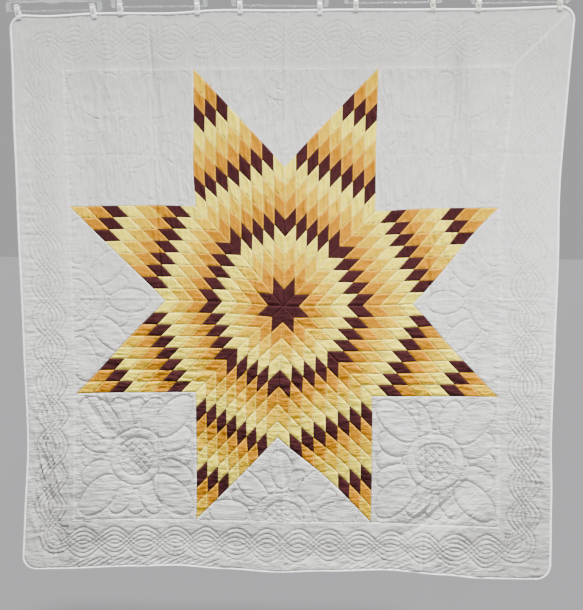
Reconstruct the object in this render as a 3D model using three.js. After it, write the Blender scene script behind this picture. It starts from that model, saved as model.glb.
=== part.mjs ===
import * as THREE from 'three';

// A pieced star quilt hung by its top edge from five clip hangers, in millimetres.
// +Z is up and the star faces -Y. Flat places on the quilt are (u, v) from its centre.

const SIDE = 497;            // side of a large diamond of the star
const STEPS = 8;             // small diamonds along that side
const BORDER = 206;          // width of the border, with the binding
const STRIPS = 3;            // rows of cells across the border
const ROUND = 60;            // radius of the quilt's corners
const THICK = 4;             // the quilt along its stitching
const CROWN = { diamond: 3.2, motif: 4, cable: 3.2 };   // how far the filling stands up
const CABLE = { inward: 109, swing: 36, pitch: 123.9, half: 34 };
const BINDING = { wide: 6, thick: 4.6, gap: 0.35 };
const EYE = { x: 81, z: 258, away: 2542 };   // folds open towards this point in front

const SQUARE = SIDE * (1 + Math.SQRT1_2);        // half of the square round the star
const HALF = SQUARE + BORDER;                    // half of the whole quilt
const EDGE = HALF - BINDING.wide - BINDING.gap;  // half of the quilt inside its binding

// The hung cloth against the flat one: x and z are sums of these times U^u * V^v,
// with U and V from -1 to 1 over the quilt. It hangs a little narrow and long.
const DRAPE = [
  { u: 1, v: 0, x: 1014.2, z: -4.5 },
  { u: 0, v: 1, x: -5.8, z: 1087.8 },
  { u: 2, v: 0, x: 8.6, z: -3.7 },
  { u: 1, v: 1, x: -6.7, z: 7.3 },
  { u: 0, v: 2, x: -2.5, z: -3.3 },
  { u: 3, v: 0, x: 6.5, z: 7.6 },
  { u: 2, v: 1, x: -4.0, z: 6.4 },
  { u: 1, v: 2, x: 25.6, z: 2.2 },
  { u: 0, v: 3, x: 13.6, z: -13.5 },
];

// Places where the patchwork is pulled askew, each over a round patch.
const TUGS = [
  { u: 850, v: 350, x: -18, z: -2, reach: 190 },
  { u: 497, v: 0, x: 15, z: 3, reach: 170 },
  { u: 0, v: -497, x: -19, z: -20, reach: 190 },
  { u: -497, v: 0, x: 14, z: -1, reach: 170 },
  { u: 351, v: 351, x: 5, z: -9, reach: 150 },
  { u: 0, v: 0, x: 0, z: -11, reach: 160 },
  { u: 300, v: 100, x: -6, z: -13, reach: 320 },
  { u: -100, v: -300, x: -17, z: 1, reach: 240 },
  { u: 700, v: -200, x: -12, z: 9, reach: 240 },
  { u: 700, v: 300, x: -16, z: -2, reach: 130 },
  { u: -400, v: -500, x: -1, z: 14, reach: 180 },
  { u: -300, v: 500, x: -7, z: -13, reach: 130 },
  { u: -500, v: 200, x: 7, z: 5, reach: 240 },
  { u: -700, v: -300, x: 13, z: 4, reach: 130 },
  { u: 300, v: -600, x: 0, z: 7, reach: 240 },
  { u: -100, v: 300, x: 6, z: -6, reach: 180 },
];

// How far each edge runs outside (+) or inside (-) of that, at places along it.
const EDGES = {
  top: [{ at: -1054, out: -2 }, { at: -900, out: -9 }, { at: -700, out: -2 }, { at: -455, out: -5 },
    { at: -240, out: 5 }, { at: 0, out: 2 }, { at: 200, out: 3 }, { at: 500, out: 0 },
    { at: 780, out: -3 }, { at: 1054, out: 0 }],
  bottom: [{ at: -1054, out: 5 }, { at: -870, out: 4 }, { at: -593, out: -6 }, { at: -420, out: -11 },
    { at: -230, out: 0 }, { at: -20, out: 10 }, { at: 190, out: 0 }, { at: 420, out: -11 },
    { at: 640, out: 3 }, { at: 790, out: 13 }, { at: 1054, out: 11 }],
  left: [{ at: -1054, out: 5 }, { at: -853, out: 3 }, { at: -551, out: -6 }, { at: -163, out: 3 },
    { at: 211, out: 5 }, { at: 578, out: 0 }, { at: 940, out: -9 }, { at: 1054, out: -9 }],
  right: [{ at: -1054, out: 2 }, { at: -723, out: 0 }, { at: -529, out: -5 }, { at: -152, out: 2 },
    { at: 211, out: 6 }, { at: 500, out: 1 }, { at: 914, out: 4 }, { at: 1054, out: 4 }],
};
const EDGE_REACH = 150;      // how far in from an edge its shift is felt

// Soft folds. Each is a ridge towards the front (deep > 0) or a trough, centred at (u, v),
// its length turned by lean degrees from upright, with its half width and half length.
const FOLDS = [
  { u: 632, v: 720, lean: -4, wide: 48, long: 330, deep: -13 },
  { u: 745, v: 640, lean: 2, wide: 70, long: 420, deep: 11 },
  { u: 500, v: 640, lean: -2, wide: 80, long: 380, deep: 6 },
  { u: -905, v: 430, lean: -1, wide: 60, long: 560, deep: 9 },
  { u: -775, v: 380, lean: -2, wide: 55, long: 500, deep: -8 },
  { u: -640, v: 400, lean: 0, wide: 65, long: 520, deep: 7 },
  { u: -500, v: 700, lean: 2, wide: 50, long: 300, deep: -6 },
  { u: -190, v: 690, lean: 5, wide: 90, long: 300, deep: 6 },
  { u: 235, v: 650, lean: -4, wide: 90, long: 330, deep: -6 },
  { u: 930, v: 150, lean: 1, wide: 70, long: 600, deep: 9 },
  { u: -630, v: -600, lean: 36, wide: 44, long: 230, deep: -11 },
  { u: -780, v: -730, lean: 32, wide: 80, long: 230, deep: 9 },
  { u: -450, v: -520, lean: 30, wide: 70, long: 200, deep: 5 },
  { u: -965, v: -790, lean: 16, wide: 52, long: 300, deep: -13 },
  { u: 600, v: -805, lean: -54, wide: 38, long: 160, deep: -14 },
  { u: 735, v: -620, lean: -28, wide: 44, long: 160, deep: -8 },
  { u: 725, v: -830, lean: -42, wide: 64, long: 210, deep: 11 },
  { u: 520, v: -450, lean: 4, wide: 36, long: 110, deep: -6 },
  { u: 980, v: -740, lean: -13, wide: 54, long: 300, deep: -11 },
  { u: 30, v: -670, lean: 4, wide: 36, long: 140, deep: -9 },
  { u: -110, v: -700, lean: -6, wide: 62, long: 170, deep: 7 },
  { u: 60, v: -880, lean: -7, wide: 60, long: 200, deep: 6 },
  { u: 330, v: -740, lean: 6, wide: 80, long: 300, deep: -7 },
  { u: -300, v: -780, lean: -5, wide: 80, long: 300, deep: -7 },
  { u: -210, v: -940, lean: 87, wide: 42, long: 210, deep: -6 },
  { u: 210, v: -980, lean: 93, wide: 42, long: 210, deep: -6 },
  { u: 60, v: -150, lean: 0, wide: 420, long: 500, deep: 10 },
];
const HELD = { still: 70, free: 280 };   // under the clips the cloth stays in one plane

// The hangers: middle and height of the clip bar, its tilt in degrees, and for each clip
// its place on the bar and its own lean.
const HANGERS = [
  { x: -852, z: 1071.8, tilt: -0.5, clips: [{ at: -135, lean: -8 }, { at: 145, lean: -8 }] },
  { x: -463, z: 1085.0, tilt: -0.4, clips: [{ at: -144, lean: -3 }, { at: 139, lean: -2 }] },
  { x: -21, z: 1086.5, tilt: 0.8, clips: [{ at: -146, lean: -3 }, { at: 146, lean: -2 }] },
  { x: 391, z: 1096.3, tilt: -0.4, clips: [{ at: -135, lean: 0 }, { at: 144, lean: -1 }] },
  { x: 851, z: 1095.2, tilt: -0.6, clips: [{ at: -150, lean: 4 }, { at: 141, lean: -2 }] },
];
const BAR = { length: 356, high: 5, deep: 5, slot: 26, arm: 11, rise: 15, chamfer: 0.8 };
const CLIP = { wide: 18, above: 21, below: 30, slotTop: 6.5 };
const HOOK = { wire: 3.2, bend: 24, stem: 22 };
const ORIGIN = { x: -19.2, z: 1213.7 };      // where the middle hook rests on its rail

const COLOURS = {
  cloth: '#cdcbc6', binding: '#e9e7e2', plastic: '#9aa0a4', steel: '#b9bbbd',
  clips: ['#dcdcda', '#dcdcda', '#e2e1dd', '#ddd8c6', '#ddd8c6'],
};

const { clamp, smoothstep, degToRad } = THREE.MathUtils;
const bell = (t) => Math.exp(-t * t);
const dome = (t) => Math.sqrt(Math.max(0, 1 - t));

// A value read from a table of { at, out } rows, eased between them.
function along(table, at) {
  const i = clamp(table.findIndex((row) => row.at >= at), 1, table.length - 1);
  const [a, b] = [table[i - 1], table[i]];
  return a.out + (b.out - a.out) * smoothstep(at, a.at, b.at);
}

// How far the folds bring the cloth to the front.
function fold(u, v) {
  let deep = 0;
  for (const f of FOLDS) {
    const turn = degToRad(f.lean);
    const across = (u - f.u) * Math.cos(turn) + (v - f.v) * Math.sin(turn);
    const up = (v - f.v) * Math.cos(turn) - (u - f.u) * Math.sin(turn);
    deep += f.deep * bell(across / f.wide) * bell(up / f.long);
  }
  return deep * smoothstep(HALF - v, HELD.still, HELD.free);
}

// The place in space of a flat place, in the middle of the cloth's thickness.
function hang(u, v) {
  const [U, V] = [u / HALF, v / HALF];
  let [x, z] = [0, 0];
  for (const t of DRAPE) {
    const s = U ** t.u * V ** t.v;
    x += t.x * s;
    z += t.z * s;
  }
  for (const t of TUGS) {
    const s = bell(Math.hypot(u - t.u, v - t.v) / t.reach);
    x += t.x * s;
    z += t.z * s;
  }
  x += along(EDGES.right, v) * bell((HALF - u) / EDGE_REACH);
  x -= along(EDGES.left, v) * bell((HALF + u) / EDGE_REACH);
  z += along(EDGES.top, u) * bell((HALF - v) / EDGE_REACH);
  z -= along(EDGES.bottom, u) * bell((HALF + v) / EDGE_REACH);
  const near = fold(u, v);
  x += (EYE.x - x) * near / EYE.away;
  z += (EYE.z - z) * near / EYE.away;
  return new THREE.Vector3(x, -near, z);
}

// Quarter turns of a flat place about the centre.
const turned = (k, u, v) => [[u, v], [-v, u], [-u, -v], [v, -u]][k];

// Corners of the cells are shared, so that each has one place in space.
const spots = new Map();
const key = (p) => `${Math.round(p.u * 50)} ${Math.round(p.v * 50)}`;
function spot(u, v) {
  const k = key({ u, v });
  if (!spots.has(k)) spots.set(k, { u, v, at: hang(u, v) });
  return spots.get(k);
}
function middle(a, b) {
  const at = new THREE.Vector3().addVectors(a.at, b.at).multiplyScalar(0.5);
  return { u: (a.u + b.u) / 2, v: (a.v + b.v) / 2, at };
}

const front = [];            // corner points of the quilt's triangles
const back = [];
const split = new Map();     // middles of the cell sides that the front cuts in two

const face = (p, rise) => p.at.clone().add(new THREE.Vector3(0, -THICK / 2 - rise(p.u, p.v), 0));
const rear = (p) => p.at.clone().add(new THREE.Vector3(0, THICK / 2, 0));
const halfway = (a, b) => {
  const m = middle(a, b);
  split.set(key(m), m);
  return m;
};

// Adds one cell: its back as a fan from the first corner, its front by the given triangles.
function cell(corners, rise, triangles) {
  for (let i = 1; i < corners.length - 1; i++) {
    back.push(rear(corners[0]), rear(corners[i + 1]), rear(corners[i]));
  }
  for (const t of triangles) front.push(...t.map((p) => face(p, rise)));
}

// A four-sided or three-sided cell with its front cut finer, to carry the quilted lines.
function fineCell(corners, rise) {
  const [a, b, c, d] = corners;
  const [ab, bc] = [halfway(a, b), halfway(b, c)];
  if (!d) {
    const ca = halfway(c, a);
    cell(corners, rise, [[a, ab, ca], [ab, b, bc], [ab, bc, ca], [ca, bc, c]]);
    return;
  }
  const [cd, da, m] = [halfway(c, d), halfway(d, a), middle(a, c)];
  cell(corners, rise, [[a, ab, m], [ab, b, m], [b, bc, m], [bc, c, m],
    [c, cd, m], [cd, d, m], [d, da, m], [da, a, m]]);
}

// A small diamond of the star: stitched down along its sides and full in the middle.
function puffed(corners, cut, uneven) {
  const m = middle(corners[0], corners[2]);
  const rim = corners.flatMap((p, i) => {
    const q = corners[(i + 1) % 4];
    return cut[i] ? [p, halfway(p, q)] : [p];
  });
  const rise = (u, v) => (Math.hypot(u - m.u, v - m.v) < 1 ? CROWN.diamond * uneven : 0);
  cell(corners, rise, rim.map((p, i) => [m, p, rim[(i + 1) % rim.length]]));
}

// The filling in the corner squares: a round with four leaves to the corners.
function rosette(s, t) {
  const round = dome((Math.hypot(s, t) / 78) ** 2);
  const lengthwise = (Math.abs(s) + Math.abs(t)) * Math.SQRT1_2;
  const crosswise = (Math.abs(s) - Math.abs(t)) * Math.SQRT1_2;
  const leaf = dome(((lengthwise - 175) / 95) ** 2 + (crosswise / 52) ** 2);
  const scallop = dome(((Math.max(Math.abs(s), Math.abs(t)) - 185) / 42) ** 2
    + (Math.min(Math.abs(s), Math.abs(t)) / 70) ** 2);
  return CROWN.motif * Math.max(round, leaf, 0.7 * scallop);
}

// The filling in the side triangles: a leaf from the middle of the long side and two beside it.
function spray(s, t) {
  const middleLeaf = dome(((t - 175) / 105) ** 2 + (s / 52) ** 2);
  const [x, y] = [Math.abs(s) - 40, t - 30];
  const [c, n] = [Math.cos(degToRad(62)), Math.sin(degToRad(62))];
  const sideLeaf = dome(((x * n + y * c - 105) / 85) ** 2 + ((x * c - y * n) / 44) ** 2);
  return CROWN.motif * Math.max(middleLeaf, sideLeaf);
}

// The cable in the border: two strands that cross at the middle of each side and in turn
// from there; inward is the distance from the edge.
function cable(q, inward) {
  const y = inward - CABLE.inward;
  const swing = CABLE.swing * Math.sin(Math.PI * q / CABLE.pitch);
  const strand = (off) => dome(((y - off) / CABLE.half) ** 2);
  return CROWN.cable * Math.max(strand(swing), strand(-swing)) * (Math.abs(y) < 68 ? 1 : 0);
}

function buildStar() {
  for (let k = 0; k < 8; k++) {
    const [a, b] = [k * Math.PI / 4, (k + 1) * Math.PI / 4];
    const at = (i, j) => spot(SIDE / STEPS * (i * Math.cos(a) + j * Math.cos(b)),
      SIDE / STEPS * (i * Math.sin(a) + j * Math.sin(b)));
    for (let i = 0; i < STEPS; i++) {
      for (let j = 0; j < STEPS; j++) {
        const uneven = 1 + 0.22 * Math.sin(2.1 * i + 3.7 * j + 5 * k) * Math.cos(1.3 * j - i);
        puffed([at(i, j), at(i + 1, j), at(i + 1, j + 1), at(i, j + 1)],
          [false, i === STEPS - 1, j === STEPS - 1, false], uneven);
      }
    }
  }
}

function buildGround() {
  const [step, mid] = [SIDE / STEPS, SQUARE - SIDE / 2];
  for (let k = 0; k < 4; k++) {
    const at = (u, v) => spot(...turned(k, u, v));
    const inward = (rise) => (u, v) => rise(...turned((4 - k) % 4, u, v));
    const square = inward((u, v) => rosette(u - mid, v - mid)
      * (Math.max(Math.abs(u - mid), Math.abs(v - mid)) < SIDE / 2 - 1 ? 1 : 0));
    const triangle = inward((u, v) => (v < SQUARE - 1 && v - Math.abs(u) * (1 + Math.SQRT2) > SIDE + 1
      ? spray(u, SQUARE - v) : 0));
    for (let i = 0; i < STEPS; i++) {
      for (let j = 0; j < STEPS; j++) {
        const [u, v] = [SQUARE - SIDE + i * step, SQUARE - SIDE + j * step];
        fineCell([at(u, v), at(u + step, v), at(u + step, v + step), at(u, v + step)], square);
      }
    }
    const lattice = (i, j) => {
      const half = SIDE * Math.SQRT1_2;
      return at(-half + 2 * half * (i + j / 2) / STEPS, SQUARE - half * j / STEPS);
    };
    for (let j = 0; j < STEPS; j++) {
      for (let i = 0; i < STEPS - j; i++) {
        fineCell([lattice(i, j), lattice(i, j + 1), lattice(i + 1, j)], triangle);
        if (i + j < STEPS - 1) {
          fineCell([lattice(i + 1, j), lattice(i, j + 1), lattice(i + 1, j + 1)], triangle);
        }
      }
    }
  }
}

// Places along one side of the star's square, where its cells end.
function stations() {
  const half = SIDE * Math.SQRT1_2;
  const list = [-SQUARE];
  for (let i = 1; i <= STEPS; i++) list.push(-SQUARE + SIDE * i / STEPS);
  for (let i = 1; i <= STEPS; i++) list.push(-half + 2 * half * i / STEPS);
  for (let i = 1; i <= STEPS; i++) list.push(half + SIDE * i / STEPS);
  return list;
}

// The rounded corner at the top right, as flat places from its right side round to its top.
function roundCorner() {
  const [radius, list] = [ROUND - HALF + EDGE, []];
  for (let i = 0; i <= 4; i++) {
    const a = i * Math.PI / 8;
    list.push({ u: EDGE - radius + radius * Math.cos(a), v: EDGE - radius + radius * Math.sin(a),
      nu: Math.cos(a), nv: Math.sin(a) });
  }
  return list;
}

function buildBorder() {
  const [st, row] = [stations(), (EDGE - SQUARE) / STRIPS];
  for (let k = 0; k < 4; k++) {
    const at = (u, v) => spot(...turned(k, u, v));
    const rise = (u, v) => {
      const [s, t] = turned((4 - k) % 4, u, v);
      return t < SQUARE + 1 ? 0 : cable(s, HALF - t);
    };
    for (let i = 0; i < st.length - 1; i++) {
      for (let j = 0; j < STRIPS; j++) {
        const [low, high] = [SQUARE + j * row, SQUARE + (j + 1) * row];
        fineCell([at(st[i], low), at(st[i + 1], low), at(st[i + 1], high), at(st[i], high)], rise);
      }
    }
    // The corner block, where the cable turns.
    const bend = (u, v) => {
      const [s, t] = turned((4 - k) % 4, u, v);
      if (s < SQUARE + 1) return t < SQUARE + 1 ? 0 : cable(s, HALF - t);
      if (t < SQUARE + 1) return cable(-t, HALF - s);
      return Math.max(s, t) > EDGE - 40 ? 0 : 0.8 * CROWN.cable;
    };
    for (let i = 0; i < STRIPS; i++) {
      for (let j = 0; j < STRIPS; j++) {
        const [u, v] = [SQUARE + i * row, SQUARE + j * row];
        if (i < STRIPS - 1 || j < STRIPS - 1) {
          fineCell([at(u, v), at(u + row, v), at(u + row, v + row), at(u, v + row)], bend);
          continue;
        }
        const [inner, low, high] = [at(u, v), at(EDGE, v), at(u, EDGE)];
        const arc = roundCorner().map((p) => at(p.u, p.v));
        const tip = arc[2];
        const [m1, m2] = [halfway(inner, low), halfway(high, inner)];
        const [m3, m4] = [halfway(low, arc[0]), halfway(arc[4], high)];
        cell([tip, arc[3], arc[4], high, inner, low, arc[0], arc[1]], bend,
          [[tip, arc[3], arc[4]], [tip, arc[4], m4], [tip, m4, high], [tip, high, m2],
            [tip, m2, inner], [tip, inner, m1], [tip, m1, low], [tip, low, m3],
            [tip, m3, arc[0]], [tip, arc[0], arc[1]]]);
      }
    }
  }
}

// The edge of the cloth as a closed loop of flat places with their outward directions.
function edgeLoop() {
  const [st, loop] = [stations(), []];
  const rows = Array.from({ length: STRIPS - 1 }, (_, i) => SQUARE + (i + 1) * (EDGE - SQUARE) / STRIPS);
  const side = [...rows.map((r) => -r).reverse(), ...st, ...rows];
  for (let k = 0; k < 4; k++) {
    const add = (u, v, nu, nv) => {
      const [[a, b], [c, d]] = [turned(k, u, v), turned(k, nu, nv)];
      loop.push({ u: a, v: b, nu: c, nv: d });
    };
    for (const s of side) add(EDGE, s, 1, 0);
    for (const p of roundCorner()) add(p.u, p.v, p.nu, p.nv);
  }
  return loop;
}

function soup(points) {
  const geometry = new THREE.BufferGeometry();
  geometry.setAttribute('position', new THREE.Float32BufferAttribute(points.flatMap((p) => p.toArray()), 3));
  geometry.computeVertexNormals();
  return geometry;
}

function quiltGeometry() {
  buildStar();
  buildGround();
  buildBorder();
  const [rim, loop] = [[], edgeLoop()];
  loop.forEach((p, i) => {
    const q = loop[(i + 1) % loop.length];
    const [a, b] = [spot(p.u, p.v), spot(q.u, q.v)];
    const m = split.get(key({ u: (p.u + q.u) / 2, v: (p.v + q.v) / 2 }));
    const [A, B, C, D] = [face(a, () => 0), face(b, () => 0), rear(b), rear(a)];
    if (m) {
      const M = face(m, () => 0);
      rim.push(A, D, M, M, C, B, M, D, C);
    } else {
      rim.push(A, D, B, B, D, C);
    }
  });
  return soup([...front, ...back, ...rim]);
}

// The binding: a narrow rounded strip that follows the edge just outside of the cloth.
function bindingGeometry() {
  const [w, t, g] = [BINDING.wide, BINDING.thick / 2, BINDING.gap];
  const section = [{ out: g, y: -t }, { out: g + w * 0.6, y: -t }, { out: g + w, y: -t * 0.4 },
    { out: g + w, y: t * 0.4 }, { out: g + w * 0.6, y: t }, { out: g, y: t }];
  const rings = edgeLoop().map((p) => section.map((s) => hang(p.u + p.nu * s.out, p.v + p.nv * s.out)
    .add(new THREE.Vector3(0, s.y, 0))));
  const points = [];
  rings.forEach((ring, i) => {
    const next = rings[(i + 1) % rings.length];
    ring.forEach((a, j) => {
      const k = (j + 1) % ring.length;
      points.push(a, next[k], next[j], a, ring[k], next[k]);
    });
  });
  return soup(points);
}

// A flat outline in x and z given a depth in y, centred on y = 0.
function plate(shape, depth, chamfer = 0) {
  const geometry = new THREE.ExtrudeGeometry(shape, { depth: depth - 2 * chamfer, curveSegments: 5,
    bevelEnabled: chamfer > 0, bevelThickness: chamfer, bevelSize: chamfer, bevelOffset: -chamfer,
    bevelSegments: 1 });
  return geometry.translate(0, 0, chamfer - depth / 2).rotateX(Math.PI / 2);
}

// The clear hanger: a clip bar below, round ends, and two arms that rise to the hook.
function hangerGeometry() {
  const [half, low, top] = [BAR.length / 2, -BAR.high / 2, BAR.high / 2 + BAR.slot];
  const shape = new THREE.Shape();
  shape.moveTo(-half + 8, low);
  shape.lineTo(half - 8, low);
  shape.quadraticCurveTo(half, low, half, low + 10);
  shape.lineTo(half, top - 4);
  shape.quadraticCurveTo(half, top + BAR.arm - 4, half - 14, top + BAR.arm - 2);
  shape.lineTo(40, top + BAR.arm + BAR.rise - 6);
  shape.quadraticCurveTo(14, top + BAR.arm + BAR.rise - 3, 9, top + BAR.arm + BAR.rise + 4);
  shape.lineTo(-9, top + BAR.arm + BAR.rise + 4);
  shape.quadraticCurveTo(-14, top + BAR.arm + BAR.rise - 3, -40, top + BAR.arm + BAR.rise - 6);
  shape.lineTo(-half + 14, top + BAR.arm - 2);
  shape.quadraticCurveTo(-half, top + BAR.arm - 4, -half, top - 4);
  shape.lineTo(-half, low + 10);
  shape.quadraticCurveTo(-half, low, -half + 8, low);
  const slot = new THREE.Path();
  const [end, sill] = [half - 17, BAR.high / 2];
  slot.moveTo(-end, sill);
  slot.lineTo(-end, top - 5);
  slot.quadraticCurveTo(-end, top, -end + 6, top);
  slot.lineTo(-34, top + 1);
  slot.quadraticCurveTo(-24, top + 1, -18, top - 4);
  slot.lineTo(18, top - 4);
  slot.quadraticCurveTo(24, top + 1, 34, top + 1);
  slot.lineTo(end - 6, top);
  slot.quadraticCurveTo(end, top, end, top - 5);
  slot.lineTo(end, sill);
  shape.holes.push(slot);
  return plate(shape, BAR.deep, BAR.chamfer);
}

// A clip seen from the side: two jaws below, an eye for the bar, and a closed top.
function clipGeometry() {
  const jaw = BINDING.thick / 2 + BINDING.gap;
  const outline = [[jaw, -CLIP.below], [6.2, -CLIP.below], [7.2, -14], [8.2, -4], [8.2, 6],
    [6.4, CLIP.above - 6], [5, CLIP.above]];
  const mirrored = outline.map(([y, z]) => [-y, z]).reverse();
  const shape = new THREE.Shape([...outline, ...mirrored, [-jaw, -CLIP.slotTop], [jaw, -CLIP.slotTop]]
    .map(([y, z]) => new THREE.Vector2(y, z)));
  const [y, z] = [BAR.deep / 2 + 0.4, BAR.high / 2 + 1.9];
  shape.holes.push(new THREE.Path([[-y, -z], [-y, z], [y, z], [y, -z]].map((p) => new THREE.Vector2(...p))));
  const geometry = new THREE.ExtrudeGeometry(shape, { depth: CLIP.wide, bevelEnabled: false });
  return geometry.translate(0, 0, -CLIP.wide / 2).rotateX(Math.PI / 2).rotateZ(Math.PI / 2);
}

// The wire hook, from its collar on the hanger's top round to its free end.
function hookGeometry() {
  const foot = BAR.high / 2 + BAR.slot + BAR.arm + BAR.rise + 4 + BINDING.gap;
  const points = [[0, 0], [0, HOOK.stem * 0.5], [0, HOOK.stem]];
  for (let i = 1; i <= 12; i++) {
    const a = degToRad(-80 + i * 21);
    points.push([HOOK.bend * Math.cos(a), HOOK.stem + HOOK.bend * (1 + Math.sin(a))]);
  }
  const curve = new THREE.CatmullRomCurve3(points.map(([x, z]) => new THREE.Vector3(x, 0, foot + z)));
  const ring = Array.from({ length: 6 }, (_, i) => new THREE.Vector2(
    HOOK.wire / 2 * Math.cos(i * Math.PI / 3), HOOK.wire / 2 * Math.sin(i * Math.PI / 3)));
  return new THREE.ExtrudeGeometry(new THREE.Shape(ring), { steps: 18, extrudePath: curve });
}

function buildObject() {
  const group = new THREE.Group();
  const add = (name, geometry, colour, roughness, metalness = 0) => {
    const material = new THREE.MeshStandardMaterial({ color: colour, roughness, metalness });
    const mesh = new THREE.Mesh(geometry, material);
    mesh.name = name;
    group.add(mesh);
    return mesh;
  };
  const place = (mesh, hanger, clip) => {
    if (clip) mesh.geometry.rotateY(degToRad(clip.lean)).translate(clip.at, 0, 0);
    mesh.geometry.rotateY(degToRad(hanger.tilt)).translate(hanger.x, 0, hanger.z);
  };
  add('quilt', quiltGeometry(), COLOURS.cloth, 0.95);
  add('binding', bindingGeometry(), COLOURS.binding, 0.9);
  HANGERS.forEach((hanger, i) => {
    place(add(`hanger_${i + 1}`, hangerGeometry(), COLOURS.plastic, 0.2), hanger);
    place(add(`hook_${i + 1}`, hookGeometry(), COLOURS.steel, 0.3, 0.9), hanger);
    hanger.clips.forEach((clip, j) => {
      const name = `clip_${i + 1}_${j ? 'right' : 'left'}`;
      place(add(name, clipGeometry(), COLOURS.clips[i], 0.45), hanger, clip);
    });
  });
  for (const mesh of group.children) mesh.geometry.translate(-ORIGIN.x, 0, -ORIGIN.z);
  return group;
}

export default buildObject();
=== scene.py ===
# %% [markdown]
# # A star quilt, hung from clip hangers
# A square of white cotton carries a large eight-pointed star pieced from small diamonds. It
# is filled, quilted and bound, and five clear hangers pinch its top edge with their clips.
# Here each cloth is laid out flat, stitched, and hung by the tables that shaped the solids.

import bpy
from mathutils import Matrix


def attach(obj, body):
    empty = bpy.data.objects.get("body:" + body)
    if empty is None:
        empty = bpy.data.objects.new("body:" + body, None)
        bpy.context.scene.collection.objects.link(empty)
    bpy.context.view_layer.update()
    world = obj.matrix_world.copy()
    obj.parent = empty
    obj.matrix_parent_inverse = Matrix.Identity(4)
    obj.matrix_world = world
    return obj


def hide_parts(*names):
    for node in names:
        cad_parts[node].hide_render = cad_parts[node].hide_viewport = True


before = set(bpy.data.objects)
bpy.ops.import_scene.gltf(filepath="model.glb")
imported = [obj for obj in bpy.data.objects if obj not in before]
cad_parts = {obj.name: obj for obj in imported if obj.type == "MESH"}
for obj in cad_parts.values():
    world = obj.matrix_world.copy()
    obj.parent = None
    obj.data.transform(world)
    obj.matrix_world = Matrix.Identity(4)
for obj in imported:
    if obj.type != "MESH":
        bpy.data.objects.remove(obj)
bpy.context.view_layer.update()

# %% Tools
import math

import bmesh
import bpy
import numpy as np
from mathutils import Matrix, Vector


def add_object(name, data):
    made = bpy.data.objects.new(name, data)
    bpy.context.scene.collection.objects.link(made)
    return made


# %% [markdown]
# ## The camera
# It stands a little above the middle of the quilt, about two and a half metres off, and looks
# slightly down. Its lens follows from how fast the quilt's sides run together.

# %% The camera
AIM = Vector((0.0453, 0.0, -1.2253))
AZIMUTH, ELEVATION, ROLL = math.radians(1.245), math.radians(6.05), math.radians(0.234)
DISTANCE = 2.5569

back_to_eye = Vector((math.sin(AZIMUTH) * math.cos(ELEVATION),
                      -math.cos(AZIMUTH) * math.cos(ELEVATION), math.sin(ELEVATION)))
camera = add_object("camera", bpy.data.cameras.new("camera"))
bpy.context.scene.camera = camera
camera.data.lens, camera.data.sensor_width = 39.48, 36.0
camera.matrix_world = (Matrix.Translation(AIM + back_to_eye * DISTANCE)
                       @ (-back_to_eye).to_track_quat("-Z", "Y").to_matrix().to_4x4()
                       @ Matrix.Rotation(ROLL, 4, "Z"))
print("camera at", [round(c, 3) for c in camera.matrix_world.translation])

# %% [markdown]
# ## The flat quilt and how it hangs
# Every place on the flat quilt is a pair (u, v) in millimetres from its centre. The tables
# are those of the solids. They say how much narrower and longer the hung cloth is, where the
# patchwork is pulled askew, how each edge waves, and where the soft folds are.

# %% Sizes of the quilt
SIDE, STEPS = 497.0, 8  # a large diamond, and small ones along its side
LANE = SIDE * math.sin(math.pi / 4) / STEPS  # the width of a row of small diamonds
BORDER, ROUND, THICK = 206.0, 60.0, 4.0
BINDING, GAP = 6.0, 0.35
SQUARE = SIDE * (1 + math.sqrt(0.5))
HALF = SQUARE + BORDER
EDGE = HALF - BINDING - GAP
EYE_X, EYE_Z, EYE_AWAY = 81.0, 258.0, 2542.0
ORIGIN_X, ORIGIN_Z = -19.2, 1213.7

DRAPE = [  # powers of U and V, and what they add to x and z
    (1, 0, 1014.2, -4.5), (0, 1, -5.8, 1087.8), (2, 0, 8.6, -3.7), (1, 1, -6.7, 7.3),
    (0, 2, -2.5, -3.3), (3, 0, 6.5, 7.6), (2, 1, -4.0, 6.4), (1, 2, 25.6, 2.2),
    (0, 3, 13.6, -13.5)]
TUGS = [  # u, v, x, z, reach
    (850, 350, -18, -2, 190), (497, 0, 15, 3, 170), (0, -497, -19, -20, 190),
    (-497, 0, 14, -1, 170), (351, 351, 5, -9, 150), (0, 0, 0, -11, 160),
    (300, 100, -6, -13, 320), (-100, -300, -17, 1, 240), (700, -200, -12, 9, 240),
    (700, 300, -16, -2, 130), (-400, -500, -1, 14, 180), (-300, 500, -7, -13, 130),
    (-500, 200, 7, 5, 240), (-700, -300, 13, 4, 130), (300, -600, 0, 7, 240),
    (-100, 300, 6, -6, 180)]
EDGES = {  # places along each edge, and how far out it runs there
    "top": [(-1054, -2), (-900, -9), (-700, -2), (-455, -5), (-240, 5), (0, 2), (200, 3),
            (500, 0), (780, -3), (1054, 0)],
    "bottom": [(-1054, 5), (-870, 4), (-593, -6), (-420, -11), (-230, 0), (-20, 10), (190, 0),
               (420, -11), (640, 3), (790, 13), (1054, 11)],
    "left": [(-1054, 5), (-853, 3), (-551, -6), (-163, 3), (211, 5), (578, 0), (940, -9),
             (1054, -9)],
    "right": [(-1054, 2), (-723, 0), (-529, -5), (-152, 2), (211, 6), (500, 1), (914, 4),
              (1054, 4)]}
EDGE_REACH = 150.0  # how far in from an edge its waves are felt
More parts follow.
